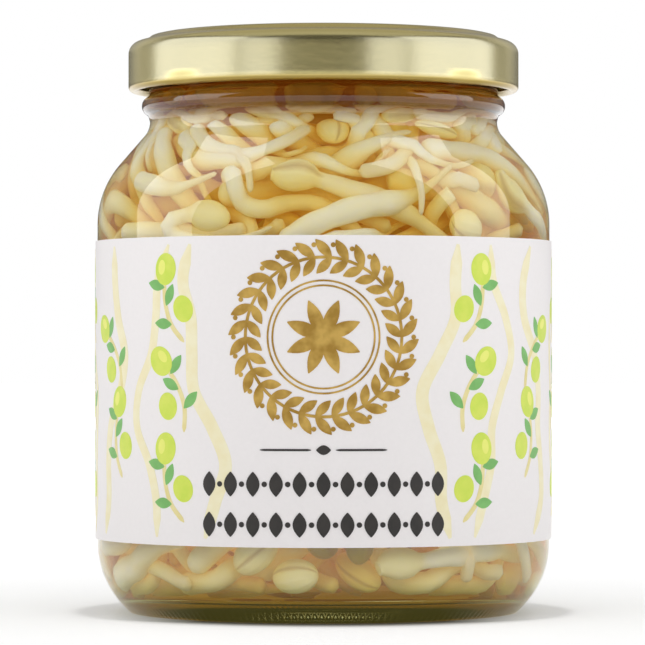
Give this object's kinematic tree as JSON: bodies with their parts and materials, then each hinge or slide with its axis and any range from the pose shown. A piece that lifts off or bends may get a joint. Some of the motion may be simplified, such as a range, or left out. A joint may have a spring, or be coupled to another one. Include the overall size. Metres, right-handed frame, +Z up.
{
  "type": "jar of bean sprouts",
  "caption": "Round glass food jar with a twist-off metal lid and a wrap-round paper label, filled with mung bean sprouts in brine.",
  "frame": {"origin": "middle of the base ring, on the plane that the jar stands on", "axes": "+Z up along the jar's axis; the label's front faces -Y and its lap is at the back, towards +Y"},
  "size_m": [0.0786, 0.0788, 0.099],
  "materials": {
    "jar_glass": "gloss",
    "brine": "gloss",
    "gold_tinplate": "satin",
    "sealing_compound": "matte",
    "label_paper": "satin",
    "sprout_flesh": "satin",
    "bean_flesh": "satin",
    "seed_skin": "satin"
  },
  "bodies": {
    "jar": {"glass_jar": "jar_glass", "label": "label_paper", "brine": "brine", "sprouts_top_01": "sprout_flesh", "sprouts_top_02": "sprout_flesh", "sprouts_top_03": "sprout_flesh", "sprouts_top_04": "sprout_flesh", "sprouts_top_05": "sprout_flesh", "sprouts_top_06": "sprout_flesh", "sprouts_top_07": "sprout_flesh", "sprouts_top_08": "sprout_flesh", "sprouts_top_09": "sprout_flesh", "sprouts_top_10": "sprout_flesh", "sprouts_top_11": "sprout_flesh", "sprouts_top_12": "sprout_flesh", "sprouts_top_13": "sprout_flesh", "sprouts_top_14": "sprout_flesh", "sprouts_top_15": "sprout_flesh", "sprouts_top_16": "sprout_flesh", "sprouts_top_17": "sprout_flesh", "sprouts_top_18": "sprout_flesh", "sprouts_top_19": "sprout_flesh", "sprouts_top_20": "sprout_flesh", "sprouts_top_21": "sprout_flesh", "sprouts_top_22": "sprout_flesh", "sprouts_top_23": "sprout_flesh", "sprouts_top_24": "sprout_flesh", "sprouts_top_25": "sprout_flesh", "sprouts_top_26": "sprout_flesh", "sprouts_top_27": "sprout_flesh", "sprouts_top_28": "sprout_flesh", "sprouts_middle_01": "sprout_flesh", "sprouts_middle_02": "sprout_flesh", "sprouts_middle_03": "sprout_flesh", "sprouts_middle_04": "sprout_flesh", "sprouts_middle_05": "sprout_flesh", "sprouts_bottom_01": "sprout_flesh", "sprouts_bottom_02": "sprout_flesh", "sprouts_bottom_03": "sprout_flesh", "sprouts_bottom_04": "sprout_flesh", "sprouts_bottom_05": "sprout_flesh", "sprouts_bottom_06": "sprout_flesh", "sprouts_bottom_07": "sprout_flesh", "sprouts_bottom_08": "sprout_flesh", "sprouts_bottom_09": "sprout_flesh", "sprouts_bottom_10": "sprout_flesh", "sprouts_bottom_11": "sprout_flesh", "sprouts_bottom_12": "sprout_flesh", "sprouts_bottom_13": "sprout_flesh", "bean_1": "bean_flesh", "bean_2": "bean_flesh", "bean_3": "bean_flesh", "bean_4": "bean_flesh", "bean_5": "bean_flesh", "bean_6": "bean_flesh", "seed_coat_1": "seed_skin", "seed_coat_2": "seed_skin", "seed_coat_3": "seed_skin"},
    "lid": {"lid": "gold_tinplate", "lid_gasket": "sealing_compound"}
  },
  "joints": [
    {"name": "lid_twist", "type": "hinge", "parent": "jar", "child": "lid", "pos_m": [0, 0, 0.094], "axis": [0, 0, 1], "range_deg": [0, 60]}
  ]
}
